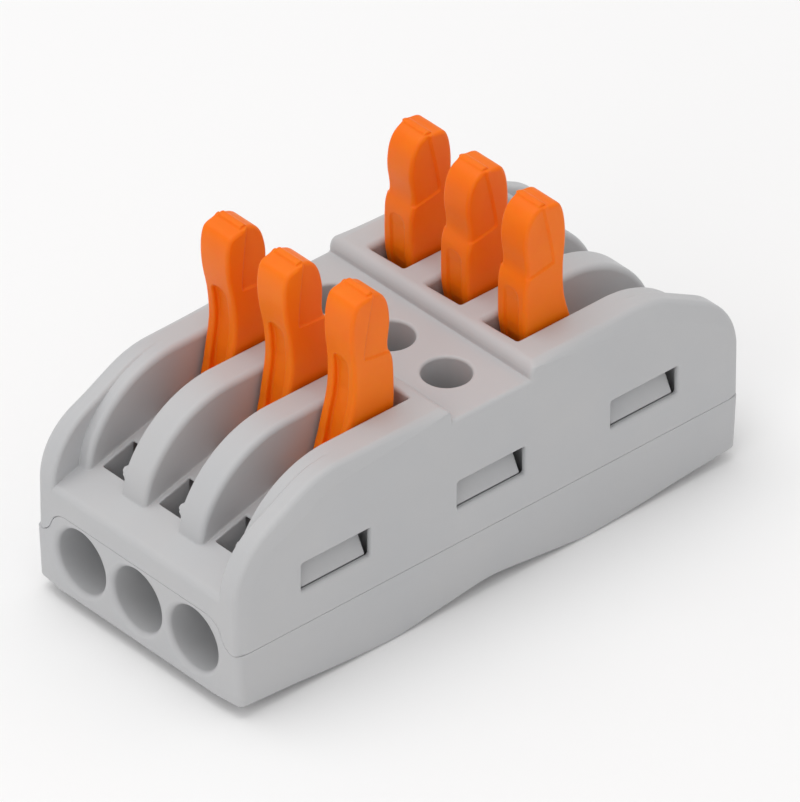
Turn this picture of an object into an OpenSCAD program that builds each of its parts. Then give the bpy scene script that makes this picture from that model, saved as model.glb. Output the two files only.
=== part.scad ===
// Three-pole inline lever wire connector.
// Three wires enter at the -X end and three at the +X end. Each lane has one
// busbar, a cage spring at each end and a lever over each spring.
// Millimetres. X runs along the lanes, Y across them, Z up. The origin is the
// centre of the footprint, on the surface that the connector stands on.

/* [Lanes] */
// Distance between neighbouring lanes
pitch = 5.05; // [5.0:0.01:5.1]
// Width of the channel that a lever lies in
lane_w = 2.98; // [2.9:0.01:3.05]
// Width of a spring chamber
chamber_w = 3.8; // [3.7:0.05:3.8]

/* [Housing] */
// Overall length, over the two wire-entry faces
body_l = 40.2; // [40.0:0.05:40.4]
// Overall width
body_w = 18.2; // [18.1:0.05:18.3]
// Height of the flat top beside the levers
top_z = 14.7; // [14.6:0.05:14.8]
// Height of the trough across the middle
trough_z = 13.7; // [13.5:0.05:13.9]
// Half length of that trough
trough_x = 3.1; // [2.9:0.05:3.2]
// Height of the parting line along the long sides
seam_z = 4.65; // [4.6:0.05:4.7]
// Height of the parting line over the wire entries
end_seam_z = 6.4; // [6.35:0.05:6.5]
// Thickness of the outer walls at their rounded ends
wall_t = 1.7; // [1.6:0.05:1.8]
// Thickness of the same walls outside the latch pockets
skin_t = 1.1; // [1.05:0.05:1.15]
// Radius of the upright corners of the upper housing
corner_r = 0.6; // [0.4:0.1:0.8]

/* [Wire entries] */
// Radius of a wire entry
entry_r = 2.15; // [2.1:0.01:2.2]
// Height of its axis
entry_z = 3.93; // [3.9:0.01:3.96]
// Length of the lead-in chamfer at its mouth
entry_lip = 0.3; // [0.2:0.05:0.4]
// Radius of a test port
port_r = 1.55; // [1.5:0.01:1.6]

/* [Levers] */
// Distance of a lever's axle from the middle
pivot_x = 7.7; // [7.6:0.05:7.8]
// Height of that axle
pivot_z = 11.6; // [11.55:0.05:11.65]
// Width of a lever
lever_w = 2.56; // [2.5:0.02:2.6]
// Radius of the axle stubs
axle_r = 0.9; // [0.85:0.05:0.9]
// Radial clearance of the stubs in their seats
axle_gap = 0.05; // [0.03:0.01:0.08]
// Lean of the first two levers of the -X end from fully raised, in degrees
lean_a = 6.5; // [0:0.5:7]
// Lean of the third lever of that end, in degrees
lean_a3 = 1.5; // [0:0.5:7]

/* [Metal parts] */
// Thickness of a busbar
bar_t = 0.8; // [0.7:0.05:0.8]
// Height of the top face of the busbars
bar_top = 5.9; // [5.85:0.05:5.9]
// Thickness of the spring strip
strip_t = 0.3; // [0.25:0.05:0.3]
// Width of the spring strip
strip_w = 3.4; // [3.2:0.1:3.4]

/* [Hidden] */
$fn = 64;

lanes = [pitch, 0, -pitch];
half_l = body_l / 2;
half_w = body_w / 2;
wall_cx = 11.5;               // shoulder round of the outer walls
wall_r = 6.9;
nose_r = 4.86;                // round at their ends, after a straight slope
nose_cx = half_l - nose_r;
nose_cz = 8.1;
fin_cx = 11.1;                // round of the fins between the lanes
fin_r = 7.3;
fin_cz = top_z - fin_r;
slot_in = 4.3;                // inner end of a lever channel
slot_out = 17.2;              // its outer end, at the ledge
ledge_front = 8.2;            // height of the ledge at the wire-entry face
ledge_slope = 0.3;            // rise of the ledge per millimetre inwards
rail_w = 0.33;                // width of the rails beside a ledge slot
ledge_in = 12.4;              // inner end of the ledge
nub_r = 0.5;
block_in = 14.8;              // inner face of the wire-entry block
win_x = 12.3;                 // latch windows, from the middle
win_hw = 2.7;
win_z0 = 7.08;
win_z1 = 9.08;
floor_z = 1.5;
cam_x = 1.9;                  // cam of a raised lever, from its axle
cam_z = 1.35;
cam_r = 1.25;
grey = [0.70, 0.70, 0.70];
orange = [0.96, 0.45, 0.05];
steel = [0.72, 0.73, 0.75];
tinned = [0.80, 0.79, 0.76];

// An x-z outline swept along Y from y0 to y1
module slab(y0, y1) {
    translate([0, y1, 0]) rotate([90, 0, 0]) linear_extrude(y1 - y0) children();
}
module box(a, b) { translate(a) cube(b - a); }
module both_ends() { children(); mirror([1, 0, 0]) children(); }
module each_lane() { for (y = lanes) translate([0, y, 0]) children(); }
module both_sides() { children(); mirror([0, 1, 0]) children(); }

// Side view of a fin: flat top with rounded ends
module arch(cx, cz, r) {
    translate([-cx, 0]) square([2 * cx, top_z]);
    for (s = [-1, 1]) translate([s * cx, cz]) circle(r, $fn = 128);
    translate([-cx - r, 0]) square([2 * (cx + r), cz]);
}
// Side view of an outer wall: flat top, shoulder, straight slope and nose
module wall_side() {
    a = 61.635;               // direction square to the slope
    p = [wall_cx + wall_r * cos(a), top_z - wall_r + wall_r * sin(a)];
    q = [nose_cx + nose_r * cos(a), nose_cz + nose_r * sin(a)];
    translate([-wall_cx, 0]) square([2 * wall_cx, top_z]);
    translate([-half_l, 0]) square([2 * half_l, nose_cz]);
    for (s = [-1, 1]) {
        translate([s * wall_cx, top_z - wall_r]) circle(wall_r, $fn = 128);
        translate([s * nose_cx, nose_cz]) circle(nose_r, $fn = 128);
        polygon([[s * wall_cx, 1], [s * wall_cx, top_z - wall_r], [s * p[0], p[1]],
                 [s * q[0], q[1]], [s * nose_cx, nose_cz], [s * nose_cx, 1]]);
    }
}
// The trough across the middle, open at both long sides
module trough_cut() {
    translate([-trough_x, trough_z]) square([2 * trough_x, 5]);
}
// Wire-entry block as seen from its end
module end_block() {
    y = pitch + 0.15;
    translate([-y, 0]) square([2 * y, end_seam_z]);
    for (s = [-1, 1]) translate([s * y, end_seam_z - 2.7]) circle(2.7, $fn = 96);
}
module end_prism(x0, x1, grow) {
    translate([x0, 0, 0]) rotate([90, 0, 90]) linear_extrude(x1 - x0)
        union() {
            end_block();
            if (grow > 0) translate([-pitch, 0]) square([2 * pitch, end_seam_z + grow]);
        }
}
// Plan view with rounded corners
module plan(hl, hw, r, h) {
    linear_extrude(h) union() {
        translate([-hl + r, -hw]) square([2 * (hl - r), 2 * hw]);
        translate([-hl, -hw + r]) square([2 * hl, 2 * (hw - r)]);
        for (a = [-1, 1], b = [-1, 1])
            translate([a * (hl - r), b * (hw - r)]) circle(r);
    }
}

// Latch arms of the lower housing: flat springs with a ramped hook
module latch_arms() {
    for (x = [-win_x, 0, win_x])
        translate([x - 2.5, 0, 0]) rotate([90, 0, 90]) linear_extrude(5.0)
            polygon([[7.2, 3.5], [7.95, 3.5], [7.95, win_z0 + 0.1],
                     [8.75, win_z0 + 0.1], [8.75, win_z0 + 0.3],
                     [7.95, win_z1 - 0.1], [7.7, 9.4], [7.2, 9.4]]);
}

module upper_housing() {
    color(grey)
    difference() {
        union() {
            intersection() {
                difference() {
                    union() {
                        // outer walls
                        for (s = [[-half_w, -half_w + wall_t], [half_w - wall_t, half_w]])
                            slab(s[0], s[1]) difference() {
                                wall_side();
                                trough_cut();
                            }
                        // ribs inside the walls and the fins between the lanes
                        for (s = [[-half_w + wall_t - 0.01, -pitch - lane_w / 2],
                                  [-pitch + lane_w / 2, -lane_w / 2],
                                  [lane_w / 2, pitch - lane_w / 2],
                                  [pitch + lane_w / 2, half_w - wall_t + 0.01]])
                            slab(s[0], s[1]) difference() {
                                arch(fin_cx, fin_cz, fin_r);
                                trough_cut();
                            }
                        // middle, between the inner ends of the channels
                        slab(-half_w + 0.5, half_w - 0.5) difference() {
                            translate([-slot_in, 0]) square([2 * slot_in, top_z]);
                            trough_cut();
                        }
                        // ledges over the wire entries
                        both_ends() slab(-half_w + 0.5, half_w - 0.5)
                            polygon([[ledge_in, 0], [half_l, 0], [half_l, ledge_front],
                                     [ledge_in, ledge_front + ledge_slope * (half_l - ledge_in)]]);
                    }
                    // underside: everything below the parting line
                    box([-30, -30, -1], [30, 30, seam_z]);
                    both_ends() end_prism(block_in - 0.1, 30, 0);
                }
                plan(half_l, half_w, corner_r, 30);
            }
            // tubes of the test ports
            each_lane() translate([0, 0, bar_top]) cylinder(r = 2.05, h = trough_z - bar_top - 0.1);
            // nub on one wall of each channel, under the head of a closed lever
            for (e = [-1, 1]) each_lane()
                translate([e * 17.8, e * (lane_w / 2 + 0.17), 10.3]) sphere(r = nub_r);
        }
        // spring chambers, open below
        both_ends() each_lane()
            box([slot_in, -chamber_w / 2, 0], [block_in, chamber_w / 2, 9.6]);
        // lever channels in the middle part, down into the chambers
        both_ends() each_lane()
            box([slot_in, -lane_w / 2, 9], [ledge_in, lane_w / 2, 12]);
        // slot in the ledge under the head of a closed lever
        both_ends() each_lane()
            box([block_in, -lane_w / 2 + rail_w, end_seam_z - 1], [slot_out, lane_w / 2 - rail_w, 12]);
        // pockets round the tubes of the test ports
        each_lane() difference() {
            box([-3.2, -chamber_w / 2, 0], [3.2, chamber_w / 2, 12.3]);
            cylinder(r = 2.05, h = 20);
        }
        // passage for the busbars
        each_lane() box([-block_in, -1.6, 0], [block_in, 1.6, bar_top]);
        // test ports
        each_lane() cylinder(r = port_r, h = 20);
        // latch pockets and windows
        both_sides() for (x = [-win_x, 0, win_x]) {
            box([x - 2.6, 6.9, 0], [x + 2.6, half_w - skin_t + 0.05, 9.6]);
            box([x - win_hw, half_w - skin_t - 0.1, win_z0], [x + win_hw, half_w + 1, win_z1]);
        }
        // seats of the lever axles, with the grooves they are pushed up through
        both_ends() each_lane() translate([pivot_x, 0, 0]) {
            translate([0, 0, pivot_z]) rotate([90, 0, 0])
                cylinder(r = axle_r + axle_gap, h = lane_w + 1.3, center = true);
            box([-0.75, -(lane_w + 1.3) / 2, 0], [0.75, (lane_w + 1.3) / 2, pivot_z]);
        }
    }
}

module lower_housing() {
    color(grey)
    difference() {
        union() {
            intersection() {
                slab(-half_w, half_w)
                    polygon([[-half_l, 0.85], [-12.5, 0.2], [-10.5, 0.08], [-8.4, 0], [-7.2, 0],
                             [-6.6, 0.1], [-0.8, 0.75], [0.8, 0.75], [6.6, 0.1], [7.2, 0],
                             [8.4, 0], [10.5, 0.08], [12.5, 0.2], [half_l, 0.85],
                             [half_l, seam_z], [-half_l, seam_z]]);
                plan(half_l, half_w, 0.35, 20);
            }
            // wire-entry blocks
            both_ends() intersection() {
                end_prism(block_in, half_l, 0);
                box([0, -30, 1.5], [30, 30, 30]);
            }
            both_sides() latch_arms();
        }
        // chambers
        both_ends() each_lane()
            box([3.2, -chamber_w / 2, floor_z], [block_in, chamber_w / 2, 10]);
        // wire entries, with a lead-in at each mouth
        both_ends() each_lane() translate([block_in - 0.1, 0, entry_z]) rotate([0, 90, 0]) {
            cylinder(r = entry_r, h = 10);
            translate([0, 0, half_l - block_in + 0.1 - entry_lip])
                cylinder(r1 = entry_r, r2 = entry_r + entry_lip, h = entry_lip);
        }
        // saddles for the busbars
        each_lane() box([-3.3, -1.6, bar_top - bar_t], [3.3, 1.6, 10]);
    }
    // pedestals under the middle of the busbars
    color(grey) each_lane() box([-3.2, -1.6, floor_z], [3.2, 1.6, bar_top - bar_t]);
}

// A raised lever at the +X end, about its own axle
module lever() {
    hw = lever_w / 2;
    color(orange)
    difference() {
        union() {
            slab(-hw, hw) union() {
                polygon([[-2.0, 0.2], [-2.5, 2.4], [-2.6, 3.2], [-2.62, 4.7], [-2.6, 5.9], [-2.52, 6.4],
                         [-2.36, 6.8], [-2.3, 7.3], [-2.38, 7.9], [-2.5, 8.6], [-2.52, 9.2],
                         [-2.46, 9.8], [-2.36, 10.3], [-2.14, 10.8], [-1.8, 11.17], [-1.4, 11.38],
                         [-1.3, 11.45], [-1.22, 11.58], [-0.84, 11.58], [-0.76, 11.48],
                         [-0.7, 11.4], [0, 11.33], [0.32, 11.08], [0.58, 10.3], [0.7, 9.2],
                         [0.68, 8.1], [0.55, 7.0], [0.53, 5.9], [0.6, 4.7], [0.82, 3.7],
                         [1.1, 2.8], [1.5, 1.5], [1.2, 0]]);
                circle(1.9, $fn = 96);
                // cam that holds the cage spring down while the lever is up
                translate([cam_x, -cam_z]) circle(cam_r);
            }
            rotate([90, 0, 0]) cylinder(r = axle_r, h = lane_w + 1.1, center = true);
        }
        // channel in the under face
        slab(-0.6, 0.6) polygon([[-0.1, 1.2], [3, 1.2], [3, 7.0], [0.3, 6.8], [-0.1, 5.6]]);
        // shallow channel low in the outer face
        slab(-0.55, 0.55) polygon([[-4, 1.6], [-1.95, 1.6], [-2.2, 3.2], [-2.56, 5.6], [-4, 5.6]]);
        // finger grip: the outer part of the head is narrower
        both_sides() slab(hw - 0.14, hw + 1)
            polygon([[-3, 6.7], [-0.3, 7.15], [-0.38, 8], [-0.58, 9], [-0.8, 10],
                     [-0.97, 10.7], [-1.1, 11.2], [-1.2, 12.5], [-3, 12.5]]);
    }
}
module place_lever(end, y, lean) {
    mirror([end < 0 ? 1 : 0, 0, 0])
        translate([pivot_x, y, pivot_z]) rotate([0, lean, 0]) lever();
}
module lever_a1() { place_lever(-1, lanes[0], lean_a); }
module lever_a2() { place_lever(-1, lanes[1], lean_a); }
module lever_a3() { place_lever(-1, lanes[2], lean_a3); }
module lever_b1() { place_lever(1, lanes[0], 0); }
module lever_b2() { place_lever(1, lanes[1], 0); }
module lever_b3() { place_lever(1, lanes[2], 0); }

// A cage spring at the +X end: one leg lies on the busbar, the strip turns
// back over it and comes down in front with a window for the bar and the wire
module cage_spring(end, y, lean) {
    t = strip_t;
    z0 = bar_top;             // underside of the leg on the bar
    // top of the strip, just under the lever's cam
    z1 = pivot_z - cam_x * sin(lean) - cam_z * cos(lean) - cam_r - axle_gap;
    rm = (z1 - z0) / 2;       // outer radius of the bend
    xb = 9.75;                // where the bend starts
    xf = 13.6;                // outer face of the front leg
    color(steel)
    mirror([end < 0 ? 1 : 0, 0, 0]) translate([0, y, 0])
    difference() {
        slab(-strip_w / 2, strip_w / 2) union() {
            translate([xb, z0]) square([3.1, t]);
            difference() {
                translate([xb, z0 + rm]) circle(rm);
                translate([xb, z0 + rm]) circle(rm - t);
                translate([xb, z0 - 1]) square([10, 10]);
            }
            translate([xb - 0.001, z1 - t]) square([xf - 0.8 - xb + 0.001, t]);
            difference() {
                translate([xf - 0.8, z1 - 0.8]) circle(0.8);
                translate([xf - 0.8, z1 - 0.8]) circle(0.8 - t);
                translate([xf - 3.8, z1 - 3]) square([3, 6]);
                translate([xf - 3.8, z1 - 3.8]) square([6, 3]);
            }
            translate([xf - t, 1.8]) square([t, z1 - 0.8 - 1.8]);
        }
        // window in the front leg
        box([xf - 1, -1.2, 2.2], [xf + 1, 1.2, 6.7]);
    }
}
module cage_spring_a1() { cage_spring(-1, lanes[0], lean_a); }
module cage_spring_a2() { cage_spring(-1, lanes[1], lean_a); }
module cage_spring_a3() { cage_spring(-1, lanes[2], lean_a3); }
module cage_spring_b1() { cage_spring(1, lanes[0], 0); }
module cage_spring_b2() { cage_spring(1, lanes[1], 0); }
module cage_spring_b3() { cage_spring(1, lanes[2], 0); }

// One busbar joins the two ends of a lane: a flat bar with narrower tongues
// that pass through the windows of the cage springs
module busbar(y) {
    color(tinned) translate([0, y, bar_top - bar_t]) difference() {
        linear_extrude(bar_t) union() {
            translate([-12.8, -1.5]) square([25.6, 3]);
            translate([-14.3, -1.05]) square([28.6, 2.1]);
        }
        // cross grooves that bite into the wire
        for (s = [-1, 1], k = [0, 1])
            translate([s * (13.75 + 0.25 * k) - 0.06, -2, -0.05]) cube([0.12, 4, 0.15]);
    }
}
module busbar_1() { busbar(lanes[0]); }
module busbar_2() { busbar(lanes[1]); }
module busbar_3() { busbar(lanes[2]); }

upper_housing();
lower_housing();
lever_a1();
lever_a2();
lever_a3();
lever_b1();
lever_b2();
lever_b3();
cage_spring_a1();
cage_spring_a2();
cage_spring_a3();
cage_spring_b1();
cage_spring_b2();
cage_spring_b3();
busbar_1();
busbar_2();
busbar_3();
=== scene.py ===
import math
import bpy
import numpy as np
from mathutils import Matrix, Vector


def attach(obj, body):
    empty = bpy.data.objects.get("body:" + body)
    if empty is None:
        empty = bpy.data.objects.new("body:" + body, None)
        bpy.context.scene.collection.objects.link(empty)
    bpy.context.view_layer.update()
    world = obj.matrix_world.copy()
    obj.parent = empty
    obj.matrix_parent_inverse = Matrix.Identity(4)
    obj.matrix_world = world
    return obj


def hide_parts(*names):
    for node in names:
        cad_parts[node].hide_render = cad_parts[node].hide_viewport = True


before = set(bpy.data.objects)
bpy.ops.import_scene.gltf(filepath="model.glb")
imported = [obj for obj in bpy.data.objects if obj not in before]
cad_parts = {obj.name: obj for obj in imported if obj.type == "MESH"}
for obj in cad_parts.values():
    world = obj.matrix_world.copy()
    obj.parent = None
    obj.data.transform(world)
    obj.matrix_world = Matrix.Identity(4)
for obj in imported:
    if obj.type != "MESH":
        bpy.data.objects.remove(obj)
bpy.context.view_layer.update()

MM = 0.001

# ---------------------------------------------------------------------------
# Distance fields. Lengths are in millimetres, in the row frame.
# ---------------------------------------------------------------------------

PITCH = 5.05          # distance between lanes
LANE = 1.49           # half width of a lever channel
HL, HW = 20.1, 9.1    # half length and half width of the base
TOP, FLOOR = 14.7, 13.7
PX, PZ = 7.7, 11.6    # lever axle


def smax(a, b, r):
    """Intersection of two fields with a round of radius r along the edge."""
    u = np.maximum(a + r, 0)
    v = np.maximum(b + r, 0)
    return np.minimum(-r, np.maximum(a, b)) + np.sqrt(u * u + v * v)


def smin(a, b, r):
    """Union with a fillet of radius r."""
    return -smax(-a, -b, r)


def corner(p, q, r):
    """Quarter plane with a rounded corner."""
    u = np.maximum(p, 0)
    v = np.maximum(q, 0)
    return np.sqrt(u * u + v * v) + np.minimum(np.maximum(p, q), 0) - r


def amax(*f):
    out = f[0]
    for g in f[1:]:
        out = np.maximum(out, g)
    return out


def amin(*f):
    out = f[0]
    for g in f[1:]:
        out = np.minimum(out, g)
    return out


def lane(y):
    return y - PITCH * np.clip(np.round(y / PITCH), -1, 1)


def from_window(ax):
    """Distance along X from the middle of the nearest latch window."""
    return np.abs(ax - 12.3 * (ax > 6.15))


def end_parting(ay, z):
    """Parting surface as seen on the end faces: below it is the wire-entry block."""
    return smin(corner(ay - 6.3, z - 5.1, 1.4), z - 4.65, 1.0)


def bend(x, z, at, n1, n2, r):
    """Two planes that meet at a point, joined by a round of radius r."""
    det = n1[0] * n2[1] - n1[1] * n2[0]
    vx = at[0] - r * (n2[1] - n1[1]) / det
    vz = at[1] - r * (n1[0] - n2[0]) / det
    px, pz = x - vx, z - vz
    d1 = n1[0] * px + n1[1] * pz
    d2 = n2[0] * px + n2[1] * pz
    a = (px * n2[1] - pz * n2[0]) / det
    b = (n1[0] * pz - n1[1] * px) / det
    return np.where((a > 0) & (b > 0), np.sqrt(px * px + pz * pz), np.maximum(d1, d2)) - r


SLOPE = (0.4751, 0.8799)       # normal of the straight part of the crown


def crown(ax, z):
    """Side view of the outer walls: flat top, shoulder, straight slope and nose."""
    return np.maximum(bend(ax, z, (13.24, TOP), (0.0, 1.0), SLOPE, 6.9),
                      bend(ax, z, (HL, 10.996), SLOPE, (1.0, 0.0), 4.86))


def upper_field(x, y, z):
    ax, ay, yl = np.abs(x), np.abs(y), lane(y)
    al = np.abs(yl)
    trough = smax(ax - 3.1, FLOOR - z, 0.08)
    top = crown(ax, z)
    # the outer edge of the crown leans in over a narrow band
    wide = np.interp(ax, [3.5, 5, 7, 9.4, 12, 15, 17.5, 19], [0.25, 0.45, 0.65, 0.9, 1.15, 1.3, 1.1, 0.95])
    deep = np.interp(ax, [16.5, 19.6], [1.0, 0.6]) * np.where(y > 0, 0.5, 0.38)
    lean = deep * np.clip(1 + top / wide, 0, 1) ** 1.3
    wall = smax(top, -trough, 0.75)
    wall = smax(smax(wall, ay - HW + lean, np.where(y > 0, 0.42, 0.28)), 7.4 - ay, 0.28)
    fin = smax(corner(ax - 11.1, z - 7.4, 7.3), ax - 18.45, 1.0)
    fin = smax(fin, -trough, 0.75)
    channel = smax(al - LANE, 4.3 - ax, 0.14)
    inner = smax(np.maximum(fin, ay - 8.3), -channel, 0.3 + 0.1 * np.clip(yl / 1.2, -1, 1))
    # ledge over the wire entries, with a slot under the head of each closed lever
    ledge = smax(ax - HL, (z - 8.2 - 0.3 * (HL - ax)) / 1.044, 0.34)
    slot = smax(smax(al - 1.16, ax - 17.2, 0.14), 14.8 - ax, 0.04)
    ledge = np.maximum(smax(np.maximum(ledge, 12.4 - ax), -slot, 0.09), ay - 8.5)
    r = 0.08 * np.clip((19.6 - ax) / 0.5, 0, 1) + 1e-4
    u = np.minimum(smin(inner, ledge, r), smin(wall, ledge, r))
    # nub on one wall of each channel
    side = np.where(x < 0, -1.0, 1.0)
    nub = np.sqrt((ax - 17.8) ** 2 + (yl * side - 1.66) ** 2 + (z - 10.3) ** 2) - 0.5
    u = smin(u, smax(nub, fin + 0.05, 0.12), 0.06)
    # parting surface, closed up tight across the middle of the end faces
    ear = np.clip((ay - 6.6) / 0.7, 0, 1) + (ax < 14.6)
    gap = 0.004 + 0.010 * np.minimum(ear, 1)
    low = np.minimum(np.maximum(end_parting(ay, z) - gap, 14.7 - ax), z - 4.664)
    u = smax(u, -low, 0.004 + 0.04 * np.minimum(ear, 1))
    # what is cut away inside
    rho = np.sqrt(x * x + yl * yl)
    xw = from_window(ax)
    cuts = amin(
        amax(al - 1.9, 4.3 - ax, ax - 14.8, z - 9.6),
        amax(al - 1.9, 4.3 - ax, ax - 12.4, z - 10.4),
        amax(ax - 3.2, al - 1.9, z - 12.3, 2.05 - rho),
        amax(ax - 14.8, al - 1.6, z - 5.9),
        amax(xw - 3.3, 6.9 - ay, ay - 8.62, z - 9.6),
        amax(np.sqrt((ax - PX) ** 2 + (z - PZ) ** 2) - 0.95, al - 2.14),
        amax(np.abs(ax - PX) - 0.75, z - PZ, al - 2.14),
    )
    u = np.maximum(u, -cuts)
    window = amax(smax(xw - 2.7, np.abs(z - 8.08) - 1.0, 0.14), 7.9 - ay)
    u = smax(u, -window, 0.2)
    return smax(u, 1.55 - rho, 0.2)


BX = np.linspace(0, 20.6, 413)
BZ = np.interp(BX, [0, 0.9, 2.5, 4.0, 6.5, 7.2, 8.4, 10.4, 12.1, 15.3, 18.4, 20.6],
               [0.8, 0.76, 0.56, 0.38, 0.09, 0.0, 0.0, 0.09, 0.2, 0.5, 0.72, 0.9])
_k = np.exp(-0.5 * (np.arange(-30, 31) * 0.05 / 0.35) ** 2)
BZ = np.convolve(np.r_[BZ[30:0:-1], BZ, np.full(30, BZ[-1])], _k / _k.sum(), "valid")
BZ = BZ - BZ.min() + 0.001


def lower_field(x, y, z):
    ax, ay, yl = np.abs(x), np.abs(y), lane(y)
    al = np.abs(yl)
    # the end faces fall away a little towards the upright edges
    xe = HL - 0.13 * np.maximum(0, (ay - 8.5) * 0.934 - (z - 4.75) * 0.359)
    plan = corner(ax - xe + 0.42, ay - HW + 0.42, 0.42)
    parting = np.minimum(z - 4.65, np.maximum(end_parting(ay, z), 14.8 - ax))
    ear = np.clip((ay - 6.6) / 0.7, 0, 1) + (ax < 14.6)
    b = smax(smax(plan, np.interp(ax, BX, BZ) - z, 0.28), parting, 0.004 + 0.04 * np.minimum(ear, 1))
    b = np.maximum(b, -amax(al - 1.9, 3.2 - ax, ax - 14.8, 1.5 - z))
    b = np.minimum(b, amax(ax - 3.2, al - 1.6, z - 5.1, 1.2 - z))
    # latch arms with ramped hooks
    xw = from_window(ax)
    arm = amax(np.abs(ay - 7.575) - 0.375, 3.5 - z, z - 9.4)
    ramp = smax((ay - 8.72) * 0.894 + (z - 7.3) * 0.447, 7.1 - z, 0.1)
    hook = amax(ramp, 7.7 - ay, ay - 8.75)
    b = np.minimum(b, smax(np.minimum(arm, hook), xw - 2.5, 0.08))
    # wire entries with rounded mouths
    rho = np.maximum(np.sqrt(yl * yl + (z - 3.93) ** 2) - 2.15, 14.7 - ax)
    return np.maximum(b, smax(plan, -rho, 0.37))


def chaikin(p, n):
    p = np.asarray(p, float)
    for _ in range(n):
        q = np.roll(p, -1, 0)
        p = np.stack([0.75 * p + 0.25 * q, 0.25 * p + 0.75 * q], 1).reshape(-1, 2)
    return p


def polygon_field(poly):
    """Signed distance to a closed outline, as a function of two coordinates."""
    a = np.asarray(poly, float)
    b = np.roll(a, -1, 0)

    def f(u, w):
        u, w = np.broadcast_arrays(u, w)
        d = np.full(u.shape, 1e9)
        inside = np.zeros(u.shape, bool)
        for (ax_, az_), (bx_, bz_) in zip(a, b):
            ex, ez = bx_ - ax_, bz_ - az_
            px, pz = u - ax_, w - az_
            t = np.clip((px * ex + pz * ez) / (ex * ex + ez * ez), 0, 1)
            d = np.minimum(d, (px - ex * t) ** 2 + (pz - ez * t) ** 2)
            if ez != 0:
                hit = ((az_ > w) != (bz_ > w)) & (px < ex * pz / ez)
                inside ^= hit
        d = np.sqrt(d)
        return np.where(inside, -d, d)

    return f


# Side view of a lever: u is outwards from the axle, w is up
OUTLINE = [[-2.0, 0.2], [-2.5, 2.4], [-2.6, 3.2], [-2.62, 4.7], [-2.6, 5.9], [-2.52, 6.4], [-2.36, 6.8],
           [-2.3, 7.3], [-2.38, 7.9], [-2.5, 8.6], [-2.52, 9.2], [-2.46, 9.8], [-2.36, 10.3], [-2.14, 10.8],
           [-1.8, 11.17], [-1.4, 11.38], [-1.3, 11.45], [-1.22, 11.58], [-0.84, 11.58], [-0.76, 11.48],
           [-0.7, 11.4], [0, 11.33], [0.32, 11.08], [0.58, 10.3], [0.7, 9.2], [0.68, 8.1], [0.55, 7.0],
           [0.53, 5.9], [0.6, 4.7], [0.82, 3.7], [1.1, 2.8], [1.5, 1.5], [1.2, 0]]
lever_outline = polygon_field(chaikin(OUTLINE, 2))
grip_outline = polygon_field(chaikin([[-4, 6.55], [-2.3, 6.78], [-0.42, 7.12], [-0.3, 7.2], [-0.3, 7.4], [-0.38, 8], [-0.58, 9],
                                      [-0.8, 10], [-0.97, 10.7], [-1.1, 11.2], [-1.2, 12.5], [-4, 12.5]], 1))


def lever_field(u, y, w):
    a = np.abs(y)
    body = smin(lever_outline(u, w), np.sqrt(u * u + w * w) - 1.9, 0.4)
    body = smin(body, np.sqrt((u - 1.9) ** 2 + (w + 1.35) ** 2) - 1.25, 0.3)
    s = np.clip(0.5 - grip_outline(u, w) / 0.14, 0, 1)
    half = 1.28 - 0.13 * s * s * (3 - 2 * s)
    d = smax(body, a - half, 0.26)
    d = smax(d, -np.maximum(11.42 - w, 1.0 - a), 0.06)
    # channel in the under face, with an arched upper end
    floor = np.interp(w, [1.0, 2.8, 3.7, 4.7, 5.9, 6.6, 7.2, 7.8], [1.1, 0.72, 0.45, 0.22, 0.14, 0.18, 0.34, 0.7])
    groove = smax(corner(a - 0.12, w - 6.75, 0.5), floor - u, 0.14)
    d = smax(d, -np.maximum(groove, 1.0 - w), 0.14)
    # shallow channel low in the outer face
    back = np.interp(w, [1.0, 2.4, 3.2, 5.0, 5.6], [-1.95, -2.34, -2.44, -2.48, -2.58])
    groove = smax(corner(a - 0.1, w - 5.3, 0.5), u - back, 0.12)
    d = smax(d, -np.maximum(groove, 1.2 - w), 0.12)
    # axle stubs
    return np.minimum(d, smax(np.sqrt(u * u + w * w) - 0.9, a - 2.04, 0.12))


# ---------------------------------------------------------------------------
# Meshing: surface nets on a grid that is finer where the edges are
# ---------------------------------------------------------------------------

def axis(spans, coarse=1.0):
    """Grid line places from (start, end, step) spans that join end to end."""
    out = [spans[0][0]]
    for a, b, h in spans:
        n = max(1, int(round((b - a) / (h * coarse))))
        out.extend(a + (b - a) * (i + 1) / n for i in range(n))
    return np.array(out)


def mirrored(half):
    half = half[half > 1e-6]
    return np.r_[-half[::-1], half]


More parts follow.
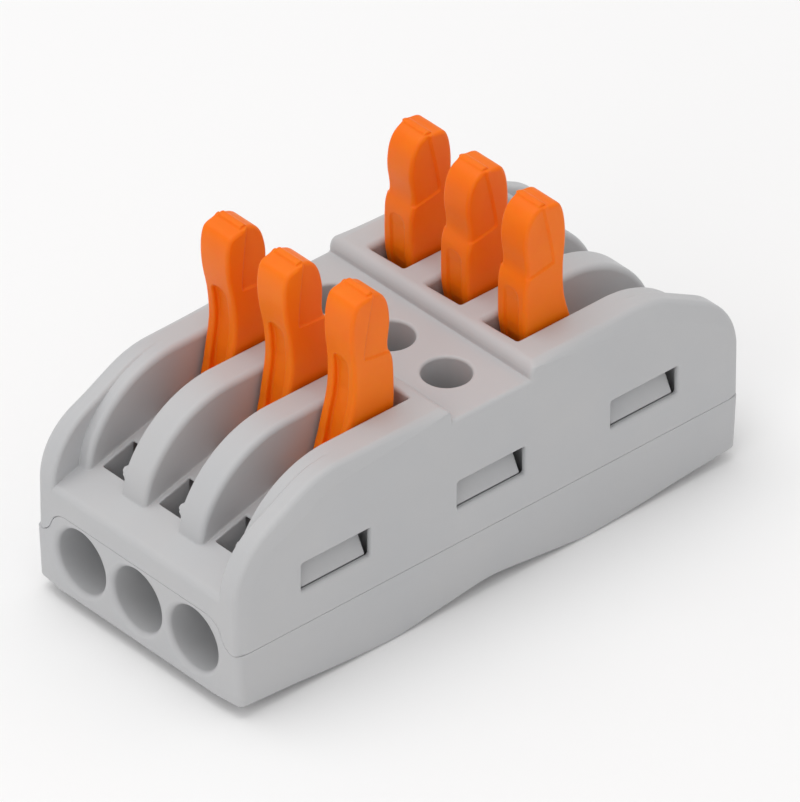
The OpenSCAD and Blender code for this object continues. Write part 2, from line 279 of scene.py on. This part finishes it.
def nets(field, xs, ys, zs):
    v = field(xs[:, None, None], ys[None, :, None], zs[None, None, :])
    v = np.array(np.broadcast_to(v, (len(xs), len(ys), len(zs))), dtype=np.float64)
    v[np.abs(v) < 1e-7] = 1e-7
    ins = v < 0
    n = np.zeros(tuple(s - 1 for s in ins.shape), np.int8)
    for a in (0, 1):
        for b in (0, 1):
            for c in (0, 1):
                n += ins[a:ins.shape[0] - 1 + a, b:ins.shape[1] - 1 + b, c:ins.shape[2] - 1 + c]
    act = (n > 0) & (n < 8)
    idx = np.full(n.shape, -1, np.int32)
    cell = np.nonzero(act)
    m = len(cell[0])
    idx[cell] = np.arange(m)
    g = (xs, ys, zs)
    total = np.zeros((m, 3))
    count = np.zeros(m)
    for k in range(3):
        i1, i2 = (k + 1) % 3, (k + 2) % 3
        for a in (0, 1):
            for b in (0, 1):
                o = [0, 0, 0]
                o[i1], o[i2] = a, b
                lo = tuple(cell[j] + o[j] for j in range(3))
                o[k] = 1
                hi = tuple(cell[j] + o[j] for j in range(3))
                f0, f1 = v[lo], v[hi]
                hit = (f0 < 0) != (f1 < 0)
                t = np.where(hit, f0 / np.where(hit, f0 - f1, 1.0), 0)
                q = np.empty((m, 3))
                q[:, k] = g[k][lo[k]] + t * (g[k][hi[k]] - g[k][lo[k]])
                q[:, i1] = g[i1][lo[i1]]
                q[:, i2] = g[i2][lo[i2]]
                total += q * hit[:, None]
                count += hit
    pts = total / count[:, None]
    size = np.stack([np.diff(g[j])[cell[j]] for j in range(3)], 1)
    quads = []
    for k in range(3):
        i1, i2 = (k + 1) % 3, (k + 2) % 3
        sl0, sl1 = [slice(1, -1)] * 3, [slice(1, -1)] * 3
        sl0[k], sl1[k] = slice(0, -1), slice(1, None)
        a, b = ins[tuple(sl0)], ins[tuple(sl1)]
        for flip, hit in ((False, a & ~b), (True, ~a & b)):
            p = list(np.nonzero(hit))
            for j in (i1, i2):
                p[j] = p[j] + 1
            ring = []
            for d1, d2 in ((-1, -1), (0, -1), (0, 0), (-1, 0)):
                q = list(p)
                q[i1] = p[i1] + d1
                q[i2] = p[i2] + d2
                ring.append(idx[tuple(q)])
            if flip:
                ring = ring[::-1]
            quads.append(np.stack(ring, 1))
    return pts, np.concatenate(quads), size


def slope(field, p, e=0.004):
    out = np.empty_like(p)
    for k in range(3):
        d = np.zeros(3)
        d[k] = e
        hi, lo = p + d, p - d
        out[:, k] = (field(hi[:, 0], hi[:, 1], hi[:, 2]) - field(lo[:, 0], lo[:, 1], lo[:, 2])) / (2 * e)
    return out


def settle(field, p, reach, steps=4):
    """Moves points on to the surface, each by no more than its reach."""
    start = p.copy()
    for _ in range(steps):
        f = field(p[:, 0], p[:, 1], p[:, 2])
        g = slope(field, p)
        step = -(f / np.maximum((g * g).sum(1), 0.25))[:, None] * g
        length = np.sqrt((step * step).sum(1, keepdims=True))
        p = p + step * np.minimum(1, 0.1 / np.maximum(length, 1e-9))
        p = start + np.clip(p - start, -reach, reach)
    return p


def new_mesh(name, pts, faces):
    """faces is an (n, 3) or (n, 4) array."""
    me = bpy.data.meshes.new(name)
    k = faces.shape[1]
    me.vertices.add(len(pts))
    me.vertices.foreach_set("co", np.ascontiguousarray(pts, dtype=np.float32).ravel())
    me.loops.add(faces.size)
    me.loops.foreach_set("vertex_index", np.ascontiguousarray(faces, dtype=np.int32).ravel())
    me.polygons.add(len(faces))
    me.polygons.foreach_set("loop_start", np.arange(0, faces.size, k, dtype=np.int32))
    me.update(calc_edges=True)
    return me


def points_of(me):
    co = np.empty(len(me.vertices) * 3, np.float32)
    me.vertices.foreach_get("co", co)
    return co.reshape(-1, 3).astype(float)


def thin_out(me, target):
    """Fewer faces by edge collapse, which mostly takes them from the flats."""
    tris = sum(len(p.vertices) - 2 for p in me.polygons) if len(me.polygons) < 10 else len(me.loops) - 2 * len(me.polygons)
    if tris <= target:
        return me
    o = bpy.data.objects.new("thin", me)
    bpy.context.scene.collection.objects.link(o)
    mod = o.modifiers.new("d", "DECIMATE")
    mod.ratio = target / tris
    dg = bpy.context.evaluated_depsgraph_get()
    out = bpy.data.meshes.new_from_object(o.evaluated_get(dg), depsgraph=dg)
    bpy.data.objects.remove(o)
    bpy.data.meshes.remove(me)
    return out


def shell(name, field, xs, ys, zs, target):
    pts, quads, size = nets(field, xs, ys, zs)
    pts = settle(field, pts, 0.55 * size)
    me = new_mesh(name, pts, quads)
    print(name, "quads", len(quads))
    me = thin_out(me, target)
    p = points_of(me)
    p = settle(field, p, np.full(p.shape, 0.06), 2)
    me.vertices.foreach_set("co", p.astype(np.float32).ravel())
    g = slope(field, p, 0.012)
    g /= np.maximum(np.sqrt((g * g).sum(1, keepdims=True)), 1e-9)
    me.vertices.foreach_set("co", (p * MM).astype(np.float32).ravel())
    me.update()
    me.polygons.foreach_set("use_smooth", np.ones(len(me.polygons), bool))
    me.normals_split_custom_set_from_vertices(g.tolist())
    me.name = name
    o = bpy.data.objects.new(name, me)
    bpy.context.scene.collection.objects.link(o)
    print(name, "faces", len(me.polygons))
    return o


C = 1.0

ux = mirrored(axis([(0.06, 2.55, 0.13), (2.55, 3.5, 0.08), (3.5, 4.1, 0.12), (4.1, 4.7, 0.09), (4.7, 9.4, 0.26),
                    (9.4, 9.8, 0.08), (9.8, 14.7, 0.16), (14.7, 15.2, 0.08), (15.2, 17.0, 0.15), (17.0, 17.5, 0.1),
                    (17.5, 19.1, 0.14), (19.1, 19.98, 0.08), (19.98, 20.14, 0.04)], C))
uy = mirrored(axis([(0.08, 1.0, 0.22), (1.0, 1.95, 0.075), (1.95, 3.1, 0.2), (3.1, 4.05, 0.075), (4.05, 6.05, 0.22),
                    (6.05, 7.0, 0.075), (7.0, 7.3, 0.12), (7.3, 7.8, 0.075), (7.8, 8.2, 0.12), (8.2, 9.2, 0.08)], C))
uz = axis([(4.56, 4.8, 0.03), (4.8, 6.3, 0.2), (6.3, 6.46, 0.08), (6.46, 6.56, 0.02), (6.56, 6.95, 0.1), (6.95, 7.35, 0.07),
           (7.35, 8.0, 0.16), (8.0, 9.3, 0.09), (9.3, 13.4, 0.14), (13.4, 14.0, 0.07), (14.0, 14.3, 0.12),
           (14.3, 14.8, 0.06)], C)
upper = shell("upper_housing_shell", upper_field, ux, uy, uz, 190000)

lx = mirrored(axis([(0.06, 2.3, 0.25), (2.3, 2.9, 0.12), (2.9, 9.5, 0.25), (9.5, 10.0, 0.12), (10.0, 14.6, 0.25), (14.6, 15.0, 0.1),
                    (15.0, 19.3, 0.25), (19.3, 19.98, 0.07), (19.98, 20.14, 0.04)], C))
ly = mirrored(axis([(0.06, 7.2, 0.13), (7.2, 8.1, 0.12), (8.1, 8.5, 0.12), (8.5, 9.16, 0.08)], C))
lz = axis([(-0.15, 1.4, 0.09), (1.4, 4.5, 0.14), (4.5, 4.74, 0.03), (4.74, 6.3, 0.13), (6.3, 6.44, 0.07), (6.44, 6.54, 0.02),
           (6.54, 7.0, 0.14), (7.0, 7.4, 0.08), (7.4, 9.55, 0.14)], C)
lower = shell("lower_housing_shell", lower_field, lx, ly, lz, 170000)

# One lever in its own frame (u, y, w), then a copy for each place
CL = 1.0
vu = axis([(-2.8, 3.3, 0.085)], CL)
vy = mirrored(axis([(0.05, 0.4, 0.12), (0.4, 1.4, 0.07), (1.4, 1.8, 0.14), (1.8, 2.15, 0.09)], CL))
vw = axis([(-2.75, 6.2, 0.12), (6.2, 7.6, 0.08), (7.6, 10.4, 0.12), (10.4, 11.7, 0.07)], CL)
lp, lq, ls = nets(lever_field, vu, vy, vw)
lp = settle(lever_field, lp, 0.55 * ls)
lg = slope(lever_field, lp, 0.015)
lg /= np.maximum(np.sqrt((lg * lg).sum(1, keepdims=True)), 1e-9)
print("lever quads", len(lq))

LEAN = {"a1": 6.5, "a2": 6.5, "a3": 1.5, "b1": 0.0, "b2": 0.0, "b3": 0.0}
levers = []
for key, lean in LEAN.items():
    end = -1.0 if key[0] == "a" else 1.0
    y0 = {"1": PITCH, "2": 0.0, "3": -PITCH}[key[1]]
    c, s = math.cos(math.radians(lean)), math.sin(math.radians(lean))

    def turn(p):
        return np.stack([end * (p[:, 0] * c + p[:, 2] * s), p[:, 1], -p[:, 0] * s + p[:, 2] * c], 1)

    pts = turn(lp) + np.array([end * PX, y0, PZ])
    nrm = turn(lg)
    me = new_mesh("lever_%s_grip" % key, pts * MM, lq[:, ::-1] if end < 0 else lq)
    me.polygons.foreach_set("use_smooth", np.ones(len(me.polygons), bool))
    me.normals_split_custom_set_from_vertices(nrm.tolist())
    o = bpy.data.objects.new("lever_%s_grip" % key, me)
    bpy.context.scene.collection.objects.link(o)
    levers.append((key, o))


# ---------------------------------------------------------------------------
# Materials
# ---------------------------------------------------------------------------

def srgb(r, g, b):
    def lin(v):
        v /= 255.0
        return v / 12.92 if v <= 0.04045 else ((v + 0.055) / 1.055) ** 2.4
    return (lin(r), lin(g), lin(b), 1.0)


class Nodes:
    def __init__(self, name):
        self.mat = bpy.data.materials.new(name)
        self.mat.use_nodes = True
        self.t = self.mat.node_tree
        self.t.nodes.clear()
        self.out = self.add("ShaderNodeOutputMaterial")
        self.bsdf = self.add("ShaderNodeBsdfPrincipled")
        self.link(self.bsdf.outputs[0], self.out.inputs["Surface"])
        self.co = self.add("ShaderNodeTexCoord").outputs["Object"]

    def add(self, kind, **kw):
        n = self.t.nodes.new(kind)
        for k, v in kw.items():
            setattr(n, k, v)
        return n

    def link(self, a, b):
        self.t.links.new(a, b)

    def set(self, **kw):
        for k, v in kw.items():
            self.bsdf.inputs[k.replace("_", " ")].default_value = v

    def noise(self, scale, detail=2.0, rough=0.5, stretch=None):
        n = self.add("ShaderNodeTexNoise")
        n.inputs["Scale"].default_value = scale
        n.inputs["Detail"].default_value = detail
        n.inputs["Roughness"].default_value = rough
        if stretch:
            m = self.add("ShaderNodeMapping")
            m.inputs["Scale"].default_value = stretch
            self.link(self.co, m.inputs["Vector"])
            self.link(m.outputs[0], n.inputs["Vector"])
        else:
            self.link(self.co, n.inputs["Vector"])
        return n.outputs["Fac"]

    def ramp(self, fac, stops):
        r = self.add("ShaderNodeValToRGB")
        e = r.color_ramp.elements
        e[0].position, e[0].color = stops[0]
        e[1].position, e[1].color = stops[1]
        for pos, col in stops[2:]:
            n = e.new(pos)
            n.color = col
        self.link(fac, r.inputs["Fac"])
        return r.outputs["Color"]

    def span(self, fac, lo, hi, a=0.3, b=0.7):
        m = self.add("ShaderNodeMapRange")
        m.inputs["From Min"].default_value = a
        m.inputs["From Max"].default_value = b
        m.inputs["To Min"].default_value = lo
        m.inputs["To Max"].default_value = hi
        self.link(fac, m.inputs["Value"])
        return m.outputs[0]

    def mix(self, fac, a, b):
        m = self.add("ShaderNodeMix", data_type="RGBA")
        if isinstance(fac, float):
            m.inputs[0].default_value = fac
        else:
            self.link(fac, m.inputs[0])
        for i, v in ((6, a), (7, b)):
            if isinstance(v, tuple):
                m.inputs[i].default_value = v
            else:
                self.link(v, m.inputs[i])
        return m.outputs[2]

    def bump(self, heights, normal=None):
        """heights: list of (factor, strength, distance in metres)."""
        last = normal
        for fac, strength, dist in heights:
            b = self.add("ShaderNodeBump")
            b.inputs["Strength"].default_value = strength
            b.inputs["Distance"].default_value = dist
            self.link(fac, b.inputs["Height"])
            if last is not None:
                self.link(last, b.inputs["Normal"])
            last = b.outputs[0]
        self.link(last, self.bsdf.inputs["Normal"])


def housing_material(name, base, tint):
    n = Nodes(name)
    cloud = n.noise(170, 3, 0.55)
    flow = n.noise(90, 2, 0.5, (1.0, 0.5, 2.2))
    grain = n.noise(5200, 2, 0.6)
    col = n.mix(n.span(cloud, 0.0, 1.0), base, tint)
    col = n.mix(n.span(flow, 0.0, 0.35), col, tuple(0.94 * c for c in base[:3]) + (1.0,))
    n.link(col, n.bsdf.inputs["Base Color"])
    n.link(n.span(grain, 0.4, 0.52), n.bsdf.inputs["Roughness"])
    n.bump([(n.noise(700, 2, 0.5), 0.1, 0.00003), (grain, 0.16, 0.000006)])
    n.set(IOR=1.5, Specular_IOR_Level=0.35, Subsurface_Weight=0.05, Subsurface_Scale=0.0004)
    n.bsdf.inputs["Subsurface Radius"].default_value = (1.0, 0.9, 0.8)
    return n.mat


def lever_material(name):
    n = Nodes(name)
    cloud = n.noise(260, 3, 0.5)
    grain = n.noise(5600, 2, 0.6)
    col = n.mix(n.span(cloud, 0.0, 1.0), srgb(246, 122, 8), srgb(243, 113, 5))
    n.link(col, n.bsdf.inputs["Base Color"])
    n.link(n.span(grain, 0.34, 0.46), n.bsdf.inputs["Roughness"])
    n.bump([(n.noise(900, 2, 0.5), 0.1, 0.00003), (grain, 0.12, 0.000006)])
    n.set(IOR=1.49, Specular_IOR_Level=0.22, Subsurface_Weight=0.4, Subsurface_Scale=0.0007)
    n.bsdf.inputs["Subsurface Radius"].default_value = (1.0, 0.22, 0.04)
    return n.mat


def metal_material(name, a, b, rough, stretch):
    n = Nodes(name)
    lines = n.noise(900, 3, 0.6, stretch)
    spots = n.noise(1400, 2, 0.5)
    n.link(n.mix(n.span(spots, 0.0, 1.0), a, b), n.bsdf.inputs["Base Color"])
    n.link(n.span(lines, rough, rough + 0.16), n.bsdf.inputs["Roughness"])
    n.bump([(lines, 0.25, 0.00002)])
    n.set(Metallic=1.0)
    return n.mat


grey = housing_material("housing_plastic_grey", srgb(191, 191, 192), srgb(187, 188, 190))
orange = lever_material("lever_plastic_orange")
steel = metal_material("spring_strip_steel", (0.60, 0.60, 0.62, 1), (0.52, 0.52, 0.54, 1), 0.24, (1.0, 12.0, 1.0))
tin = metal_material("tinned_copper", (0.66, 0.64, 0.60, 1), (0.58, 0.56, 0.52, 1), 0.30, (12.0, 1.0, 1.0))

for o, node in ((upper, "upper_housing"), (lower, "lower_housing")):
    o.data.materials.clear()
    o.data.materials.append(grey)
    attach(o, "housing")
    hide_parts(node)
for key, o in levers:
    o.data.materials.append(orange)
    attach(o, "lever_" + key)
    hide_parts("lever_" + key)
for name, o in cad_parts.items():
    if "spring" in name or "busbar" in name:
        o.data.materials.clear()
        o.data.materials.append(steel if "spring" in name else tin)

# ---------------------------------------------------------------------------
# Floor, light and camera
# ---------------------------------------------------------------------------

me = bpy.data.meshes.new("floor")
me.from_pydata([(-4, -4, 0), (4, -4, 0), (4, 4, 0), (-4, 4, 0)], [], [(0, 1, 2, 3)])
floor = bpy.data.objects.new("floor", me)
bpy.context.scene.collection.objects.link(floor)
n = Nodes("floor_paper")
n.link(n.ramp(n.noise(3.0, 1), [(0.3, (0.925, 0.922, 0.922, 1)), (0.7, (0.935, 0.933, 0.933, 1))]), n.bsdf.inputs["Base Color"])
n.set(Roughness=0.9)
n.bsdf.inputs["Specular IOR Level"].default_value = 0.0
me.materials.append(n.mat)

scene = bpy.context.scene
world = bpy.data.worlds.new("studio")
scene.world = world
world.use_nodes = True
wt = world.node_tree
bg = wt.nodes["Background"]
bg.inputs["Strength"].default_value = 1.0
sky = wt.nodes.new("ShaderNodeTexCoord")
split = wt.nodes.new("ShaderNodeSeparateXYZ")
wt.links.new(sky.outputs["Generated"], split.inputs[0])
fade = wt.nodes.new("ShaderNodeValToRGB")
stops = [(0.0, 0.60), (0.25, 0.64), (0.6, 0.68), (1.0, 0.72)]
fade.color_ramp.elements[0].position = stops[0][0]
fade.color_ramp.elements[1].position = stops[-1][0]
for k, (pos, v) in enumerate(stops):
    e = fade.color_ramp.elements[0] if k == 0 else fade.color_ramp.elements[-1] if k == len(stops) - 1 else fade.color_ramp.elements.new(pos)
    e.color = (v, 0.997 * v, 0.995 * v, 1)
wt.links.new(split.outputs["Z"], fade.inputs["Fac"])
wt.links.new(fade.outputs["Color"], bg.inputs["Color"])


def area(name, place, target, size, watts, color=(1, 1, 1)):
    d = bpy.data.lights.new(name, "AREA")
    d.shape = "RECTANGLE"
    d.size, d.size_y = size
    d.energy = watts
    d.color = color
    o = bpy.data.objects.new(name, d)
    o.location = place
    o.rotation_euler = (Vector(target) - Vector(place)).to_track_quat("-Z", "Y").to_euler()
    scene.collection.objects.link(o)
    return o


area("softbox_top", (-0.10, 0.10, 0.60), (0, 0, 0), (0.50, 0.50), 1.45)
area("softbox_left", (-0.55, -0.25, 0.35), (0, 0, 0.01), (0.35, 0.35), 0.5)

scene.view_settings.view_transform = "Standard"

AZ, EL = math.radians(-41.792), math.radians(35.582)
back = Vector((math.sin(AZ) * math.cos(EL), -math.cos(AZ) * math.cos(EL), math.sin(EL)))
right = Vector((math.cos(AZ), math.sin(AZ), 0.0))
down = (-back).cross(right)
target = Vector((0.12, 0.0, 5.75)) * MM
DIST, SCALE = 824.725, 16.746            # mm to the target, and pixels per mm there
place = target + (back * DIST - right * ((391.303 - 400) / SCALE) - down * ((442.714 - 401) / SCALE)) * MM
cam = bpy.data.cameras.new("camera")
cam.sensor_fit = "VERTICAL"
cam.sensor_height = 36.0
cam.lens = SCALE * DIST * 36.0 / 802.0
cam.clip_start, cam.clip_end = 0.01, 20.0
camera = bpy.data.objects.new("camera", cam)
scene.collection.objects.link(camera)
m = Matrix((right, -down, back)).transposed().to_4x4()
m.translation = place
camera.matrix_world = m
scene.camera = camera

bpy.context.view_layer.update()
